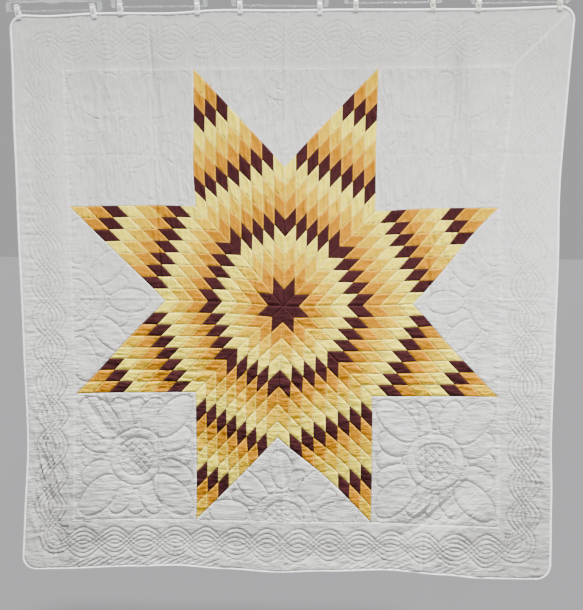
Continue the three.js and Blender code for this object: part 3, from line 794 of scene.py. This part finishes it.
def rounded(u, v):
    """Draws a square corner in to the quilt's rounded one."""
    x, y = np.abs(u) - CENTRE, np.abs(v) - CENTRE
    shrink = np.where((x > 0) & (y > 0), np.maximum(x, y) / np.maximum(np.hypot(x, y), 1e-9), 1)
    u = np.where(shrink < 1, np.sign(u) * (CENTRE + x * shrink), u)
    v = np.where(shrink < 1, np.sign(v) * (CENTRE + y * shrink), v)
    return u, v


def to_edge(u, v):
    """Distance in from the quilt's own edge."""
    x, y = np.abs(u) - CENTRE, np.abs(v) - CENTRE
    straight = EDGE - np.maximum(np.abs(u), np.abs(v))
    return np.where((x > 0) & (y > 0), ARC - np.hypot(x, y), straight)


def make_border(name, k):
    bm = bmesh.new()
    add_grid(bm, COLUMNS, ROWS, placed((-1, 0), (2, 0), (0, 1)))
    piece = finish_piece(bm, name, [(LEVEL, CABLED)[k % 2]])
    p, q = flat_places(piece)
    t = SQUARE + q * (EDGE - SQUARE)
    s, t = rounded(p * t, t)
    u, v = turned(k, s, t)
    run, out = cable_place(s, t)
    run = run + 6 * drift(u, v, 110, 90, 40) * np.clip(s / 150, -1, 1)
    out = out + 4 * drift(u, v, 90, 90, 50)
    store_map(piece, "cable", run / PITCH, out)
    distance = np.minimum(cable_distance(run, out), t - SQUARE + SEAM)
    distance = np.minimum(distance, to_edge(s, t) - 0.5)
    mitre = np.where((u > 0) & (v > 0), (t - np.abs(s)) * math.sqrt(0.5), FAR)
    if k == 2:
        slant = (s * math.sin(ECHO_LEAN) - t * math.cos(ECHO_LEAN)) / ECHO_APART
        echo = (0.5 - np.abs(slant % 1 - 0.5)) * ECHO_APART
        shown = (eased(out, 56, 70) * eased(SQUARE + 90 - np.abs(s), 0, 90)
                 * eased(drift(s, t, 130, 500, 77), -0.6, -0.2))
        distance = np.minimum(distance, echo + 16 * (1 - shown))
    distance = np.where(t > SQUARE + 2, np.minimum(distance, mitre), distance)
    hang_piece(piece, u, v, surface(u, v, distance, 2.6, 0.7), distance,
               np.minimum(t - SQUARE, mitre + 0.8))
    return piece


border = [make_border(name, k) for k, name in
          enumerate(("border_top", "border_left", "border_bottom", "border_right"))]

# %% [markdown]
# ## The backing
# The back is plain white cotton. The quilting shows there too, softer than on the front.


# %% The backing
COARSE = 200  # grid steps along the backing


def make_backing():
    bm = bmesh.new()
    add_grid(bm, COARSE, COARSE, placed((-EDGE, -EDGE), (2 * EDGE, 0), (0, 2 * EDGE)))
    bmesh.ops.reverse_faces(bm, faces=bm.faces)
    piece = finish_piece(bm, "backing", [PLAIN])
    u, v = rounded(*flat_places(piece))
    p, q, star_distance = star_rows(u, v, np.floor(np.arctan2(v, u) / (math.pi / 4)))
    in_square = np.minimum(np.abs(u), np.abs(v)) > SQUARE - SIDE
    (square, triangle), _ = ground_distances(u, v)
    upright = np.abs(v) > np.abs(u)
    outer = np.maximum(np.abs(u), np.abs(v))
    cable = cable_distance(*cable_place(np.where(upright, u, v), outer))
    distance = np.where(in_square, square, triangle)
    distance = np.where((p < STEPS) & (q < STEPS), star_distance, distance)
    distance = np.where(outer > SQUARE, cable, distance)
    softer = np.minimum(distance, to_edge(u, v)) + 2
    hang_piece(piece, u, v, 0.6 * surface(u, v, softer, 3.2), distance * 0.4 + 1.5, side=-1)
    return piece


backing = make_backing()

# %% [markdown]
# ## The binding
# A narrow white strip is folded over the raw edge all round. It is one grid, whose short side
# runs round the strip's own section and whose long side runs round the quilt.


# %% Wrapping a grid into a tube
def wrap(bm, rings, joined):
    """Makes a tube through rings of points, joined end to end or capped."""
    sides = rings.shape[1]
    rings = np.concatenate([rings, rings[:, :1]], 1)
    if joined:
        rings = np.concatenate([rings, rings[:1]], 0)
    made = bmesh.ops.create_grid(bm, x_segments=sides, y_segments=len(rings) - 1,
                                 size=0.5)["verts"]
    for vert, place in zip(made, rings.reshape(-1, 3)):
        vert.co = place
    bmesh.ops.remove_doubles(bm, verts=made, dist=1e-6)
    if not joined:
        ends = [e for e in bm.edges if e.is_boundary]
        bmesh.ops.holes_fill(bm, edges=ends, sides=0)
    bmesh.ops.recalc_face_normals(bm, faces=bm.faces)


# %% The binding
SECTION = [(-2.6, -1.0), (-2.0, -1.9), (1.0, -2.15), (4.4, -1.95), (5.9, -1.2), (6.3, 0.0),
           (5.9, 1.2), (4.4, 1.95), (1.0, 2.15), (-2.0, 1.9), (-2.6, 1.0)]
BINDING_STEP, BINDING_FULL = 7.5, 2.1  # along the edge, and how much the section swells


def edge_path(step):
    """Places and outward directions round the edge of the cloth."""
    straight = np.arange(-CENTRE, CENTRE, step)
    bend = np.radians(np.arange(0, 90, 3.75))
    c, s = np.cos(bend), np.sin(bend)
    quarter = np.concatenate([
        np.stack([np.full_like(straight, EDGE), straight, np.ones_like(straight),
                  np.zeros_like(straight)]),
        np.stack([CENTRE + ARC * c, CENTRE + ARC * s, c, s])], 1)
    return np.concatenate([np.stack([*turned(k, *quarter[:2]), *turned(k, *quarter[2:])])
                           for k in range(4)], 1)


def make_binding():
    u, v, nu, nv = edge_path(BINDING_STEP)
    puffed = BINDING_FULL * (1 + 0.12 * drift(u, v, 11, 11, 21))
    forward = brought_forward(u, v)
    rings = np.stack([hang(u + nu * out, v + nv * out, forward - y * puffed)
                      for out, y in SECTION], 1)
    bm = bmesh.new()
    wrap(bm, rings, joined=True)
    piece = finish_piece(bm, "binding_strip", [TAPE])
    store_map(piece, "flat", *flat_places(piece, (0, 2)))
    return piece


binding = make_binding()

# %% [markdown]
# ## The clip hangers
# A hanger is moulded from clear plastic: a clip bar below, rounded ends, and two arms that
# rise to the hook. It is one ring of thin I sections between an inner and an outer outline.
# The hook is bent wire, and each clip is two sprung jaws.

# %% Finishes of the hangers
def plastic(name, colour, shade, roughness, clear=0.0):
    made = Finish(name, roughness)
    where = made.node("ShaderNodeTexCoord")[3]
    cloud = made.noise(where, 60.0, 4.0)
    made.feed("Base Color", made.blend(cloud, colour, shade))
    made.feed("Roughness", cloud * 0.12 + (roughness - 0.06))
    made.feed("Normal", made.bump(made.noise(where, 900.0), 0.0001, 0.1))
    made.shader.inputs["Transmission Weight"].default_value = clear
    made.shader.inputs["IOR"].default_value = 1.49
    return made.material


def wire(name, colour, shade, roughness):
    made = Finish(name, roughness, 1.0)
    where = made.node("ShaderNodeTexCoord")[3]
    drawn = made.noise(made.stretched(where, (900, 900, 120)), 1.0, 3.0)
    made.feed("Base Color", made.blend(drawn, colour, shade))
    made.feed("Roughness", drawn * 0.2 + (roughness - 0.1))
    return made.material


CLEAR = plastic("clear_plastic", (0.93, 0.95, 0.95), (0.90, 0.92, 0.93), 0.14, 0.82)
CLIP_WHITE = plastic("white_plastic", (0.90, 0.90, 0.89), (0.86, 0.86, 0.85), 0.35)
CLIP_IVORY = plastic("ivory_plastic", (0.82, 0.79, 0.68), (0.76, 0.72, 0.60), 0.38)
STEEL = wire("steel_wire", (0.66, 0.67, 0.68), (0.54, 0.55, 0.56), 0.26)
LEAF_STEEL = wire("leaf_spring_steel", (0.90, 0.90, 0.89), (0.82, 0.82, 0.81), 0.5)

# %% Where the hangers are
HANGERS = [  # middle, height of the bar, tilt, and for each clip its place and lean
    (-852, 1071.8, -0.5, ((-135, -8), (145, -8))),
    (-463, 1085.0, -0.4, ((-144, -3), (139, -2))),
    (-21, 1086.5, 0.8, ((-146, -3), (146, -2))),
    (391, 1096.3, -0.4, ((-135, 0), (144, -1))),
    (851, 1095.2, -0.6, ((-150, 4), (141, -2)))]
BAR_LENGTH, BAR_HIGH, SLOT, ARM, RISE = 356.0, 5.0, 26.0, 11.0, 15.0


def hanger_place(x, z, tilt):
    return (Matrix.Translation(((x - ORIGIN_X) / 1000, 0, (z - ORIGIN_Z) / 1000))
            @ Matrix.Rotation(math.radians(tilt), 4, "Y") @ Matrix.Scale(0.001, 4))


# %% The clear hanger
WEB = [(0, -2.5), (0.16, -2.5), (0.2, -1), (0.8, -1), (0.84, -2.5), (1, -2.5), (1, 2.5),
       (0.84, 2.5), (0.8, 1), (0.2, 1), (0.16, 2.5), (0, 2.5)]


def outline(points, per):
    """A rounded line through points of x and z, with so many steps between two of them."""
    points = np.array(points, float)
    before, after = np.roll(points, 1, 0), np.roll(points, -1, 0)
    later = np.roll(points, -2, 0)
    steps = np.linspace(0, 1, per, endpoint=False)[:, None, None]
    line = 0.5 * (2 * points + (after - before) * steps
                  + (2 * before - 5 * points + 4 * after - later) * steps ** 2
                  + (3 * points - before - 3 * after + later) * steps ** 3)
    return line.transpose(1, 0, 2).reshape(-1, 2)


def make_hanger(number, x, z, tilt):
    half, low, top = BAR_LENGTH / 2, -BAR_HIGH / 2, BAR_HIGH / 2 + SLOT
    crest = top + ARM + RISE
    end = half - 17
    pairs = [((0, -low), (0, low)), ((90, -low), (90, low)), ((end - 12, -low), (end - 12, low)),
             ((end - 2, -low + 1), (half - 10, low)), ((end, -low + 4), (half - 1, low + 4)),
             ((end, top - 14), (half, top - 14)), ((end - 1, top - 4), (half - 1, top + 1)),
             ((end - 7, top), (half - 12, top + ARM - 2)),
             ((end - 40, top), (end - 40, top + ARM + 1)),
             ((90, top), (90, crest - 13)), ((42, top + 1), (42, crest - 6)),
             ((24, top - 1), (16, crest - 2)), ((12, top - 4), (9, crest + 3))]
    mirrored = [((-a[0], a[1]), (-b[0], b[1])) for a, b in reversed(pairs[1:])]
    pairs += [((0, top - 4), (0, crest + 4))] + mirrored
    inner, outer = (outline([pair[i] for pair in pairs], 4) for i in (0, 1))
    rings = np.stack([np.insert(inner + (outer - inner) * a, 1, y, 1) for a, y in WEB], 1)
    bm = bmesh.new()
    wrap(bm, rings, joined=True)
    sharp = [e for e in bm.edges if e.calc_face_angle(0) > 0.7]
    bmesh.ops.bevel(bm, geom=sharp, offset=0.3, segments=2, profile=0.5, affect="EDGES",
                    material=-1, clamp_overlap=True)
    bmesh.ops.transform(bm, matrix=hanger_place(x, z, tilt), verts=bm.verts)
    piece = finish_piece(bm, f"clear_hanger_{number}", [CLEAR])
    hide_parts(f"hanger_{number}")


# %% The hook
WIRE, HOOK_BEND, STEM = 3.2, 24.0, 22.0


def swept(line, offsets):
    """Rings along a line. Each offset says how far a point lies aside and across."""
    ahead = np.gradient(line, axis=0)
    ahead /= np.hypot(*ahead.T)[:, None]
    sideways = np.stack([-ahead[:, 1], ahead[:, 0]], 1)
    return np.stack([np.insert(line + sideways * np.reshape(aside, (-1, 1)), 1, across, 1)
                     for aside, across in offsets], 1)


def make_hook(number, x, z, tilt):
    foot = BAR_HIGH / 2 + SLOT + ARM + RISE + 4 + GAP
    centre = foot + STEM + HOOK_BEND
    bend = [math.radians(a) for a in range(-62, 176, 14)]
    line = np.array([(0, foot), (0, foot + 8), (0, foot + STEM - 4)]
                    + [(HOOK_BEND * math.cos(a), centre + HOOK_BEND * math.sin(a)) for a in bend])
    fine = np.concatenate([line[:1], outline(line, 4)[4:4 * (len(line) - 1) + 1]])
    thick = np.full(len(fine), WIRE / 2)
    thick[-3:] *= (1.25, 1.3, 0.9)  # the blunt tip
    turn = np.radians(np.arange(0, 360, 30))
    rings = swept(fine, [(thick * math.cos(a), thick * math.sin(a)) for a in turn])
    bm = bmesh.new()
    wrap(bm, rings, joined=False)
    bmesh.ops.create_cone(bm, cap_ends=True, segments=20, radius1=5.0, radius2=4.2, depth=3.0,
                          matrix=Matrix.Translation((0, 0, foot + 1.5)))
    bmesh.ops.transform(bm, matrix=hanger_place(x, z, tilt), verts=bm.verts)
    piece = finish_piece(bm, f"wire_hook_{number}", [STEEL])
    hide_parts(f"hook_{number}")


# %% [markdown]
# ## The clips
# A clip is two jaws with finger tabs, held shut by a bent leaf of steel. The jaws have the
# same outline turned round, so one outline is filled, pushed out to the clip's width and
# bevelled, and the back jaw is its mirror image.

# %% The clips
CLIP_WIDE = 18.0
JAW = [(-2.9, -30), (-3.3, -24), (-4.6, -12), (-6.2, -3), (-6.5, 6), (-6.3, 13), (-7.6, 21),
       (-9.4, 21), (-8.2, 13), (-8.6, 6), (-8.4, -3), (-6.9, -12), (-6.3, -24), (-5.2, -30)]
LEAF = [(-9.4, -8), (-9.5, 0), (-9.2, 7), (-6.5, 11.5), (0, 13), (6.5, 11.5), (9.2, 7), (9.5, 0),
        (9.4, -8)]
LEAF_SECTION = [(-0.45, -4.2), (-0.45, 4.2), (0.45, 4.2), (0.45, -4.2)]


def make_clip(number, side, place, finish):
    bm = bmesh.new()
    for facing in (1, -1):
        verts = [bm.verts.new((-CLIP_WIDE / 2, facing * y, z)) for y, z in JAW]
        face = bm.faces.new(verts)
        pushed = bmesh.ops.extrude_face_region(bm, geom=[face])
        moved = [g for g in pushed["geom"] if isinstance(g, bmesh.types.BMVert)]
        bmesh.ops.translate(bm, vec=(CLIP_WIDE, 0, 0), verts=moved)
    bmesh.ops.recalc_face_normals(bm, faces=bm.faces)
    bmesh.ops.bevel(bm, geom=[e for e in bm.edges if e.calc_face_angle(0) > 0.9], offset=0.7,
                    segments=2, profile=0.5, affect="EDGES", material=-1, clamp_overlap=True)
    for facing in (1, -1):  # ridges on the finger tabs
        for k in range(4):
            ridge = Matrix.Translation((0, facing * (-8.5 - 0.13 * k), 14.5 + 1.6 * k))
            bmesh.ops.create_cube(bm, size=1, matrix=ridge @ Matrix.Diagonal((14, 1.2, 0.7, 1)))
    rings = swept(np.array(LEAF, float), LEAF_SECTION)[..., (1, 0, 2)]
    plastic_faces = len(bm.faces)
    metal = bmesh.new()
    wrap(metal, rings, joined=False)
    spring = bpy.data.meshes.new("spring")
    metal.to_mesh(spring)
    metal.free()
    bm.from_mesh(spring)
    bpy.data.meshes.remove(spring)
    bm.faces.ensure_lookup_table()
    for face in bm.faces[plastic_faces:]:
        face.material_index = 1
    bmesh.ops.transform(bm, matrix=place, verts=bm.verts)
    piece = finish_piece(bm, f"clip_jaws_{number}_{side}", [finish, LEAF_STEEL])
    piece.data.polygons.foreach_set("use_smooth", np.zeros(len(piece.data.polygons), bool))
    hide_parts(f"clip_{number}_{side}")


for number, (x, z, tilt, clips) in enumerate(HANGERS, 1):
    make_hanger(number, x, z, tilt)
    make_hook(number, x, z, tilt)
    finish, slot_name = (CLIP_WHITE, "white_plastic")
    if number >= 4:
        finish, slot_name = (CLIP_IVORY, "ivory_plastic")
    for side, (at, lean) in zip(("left", "right"), clips):
        place = (hanger_place(x, z, tilt) @ Matrix.Translation((at, 0, 0))
                 @ Matrix.Rotation(math.radians(lean), 4, "Y"))
        make_clip(number, side, place, finish)

# %% [markdown]
# ## What each piece is
# The star, ground, border and backing stand for the quilt's solid, and the strip for the
# binding's.

# %% Hiding the solids
DIAMOND = SIDE * SIDE * math.sin(math.pi / 4)
LAID_FLAT = [  # pieces, width, height and area of each, and its slot
    (star, 2 * SQUARE, SQUARE, 4 * DIAMOND, "gold_cotton"),
    (ground, 2 * SQUARE, SQUARE + LEG, 3 * SIDE ** 2, "white_cotton"),
    (border, 2 * EDGE, EDGE - SQUARE, EDGE ** 2 - SQUARE ** 2, "white_cotton")]

for pieces, wide, tall, area, slot_name in LAID_FLAT:
    for piece in pieces:
        wide / 1000
        tall / 1000
        area / 1e6
        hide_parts("quilt")
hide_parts("quilt")
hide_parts("binding")

# %% [markdown]
# ## Floor and light
# The quilt hangs over a plain pale floor. One soft light from high in front and a little to
# the right rakes down the cloth, so that every stitched line shows. A weak wide one, low in
# front on the right, lifts that side, and a plain pale surrounding fills the shadows.

# %% The floor
FLOOR, FLOOR_HALF = -3.2, 60.0
cover = Finish("floor", 0.9)
cover.shader.inputs["Base Color"].default_value = (0.10, 0.10, 0.104, 1)
bm = bmesh.new()
bmesh.ops.create_grid(bm, x_segments=1, y_segments=1, size=FLOOR_HALF,
                      matrix=Matrix.Translation((0, 0, FLOOR)))
finish_piece(bm, "floor", [cover.material])


# %% The lights
def add_light(name, kind, energy, towards, place=(0, 0, 0)):
    light = add_object(name, bpy.data.lights.new(name, kind))
    light.data.energy, light.location = energy, place
    light.rotation_euler = Vector(towards).to_track_quat("-Z", "Y").to_euler()
    return light.data


key = add_light("key", "SUN", 13.6, (-0.4, 1.0, -2.8))
key.angle = math.radians(9)
front = add_light("front", "AREA", 26, (0, 1, 0), (1.0, -1.7, -1.1))
front.shape, front.size, front.size_y = "RECTANGLE", 1.8, 0.5

world = bpy.data.worlds.new("studio")
bpy.context.scene.world = world
world.use_nodes = True
surrounding = world.node_tree.nodes["Background"].inputs
surrounding["Color"].default_value = (0.40, 0.40, 0.41, 1)
surrounding["Strength"].default_value = 1.0
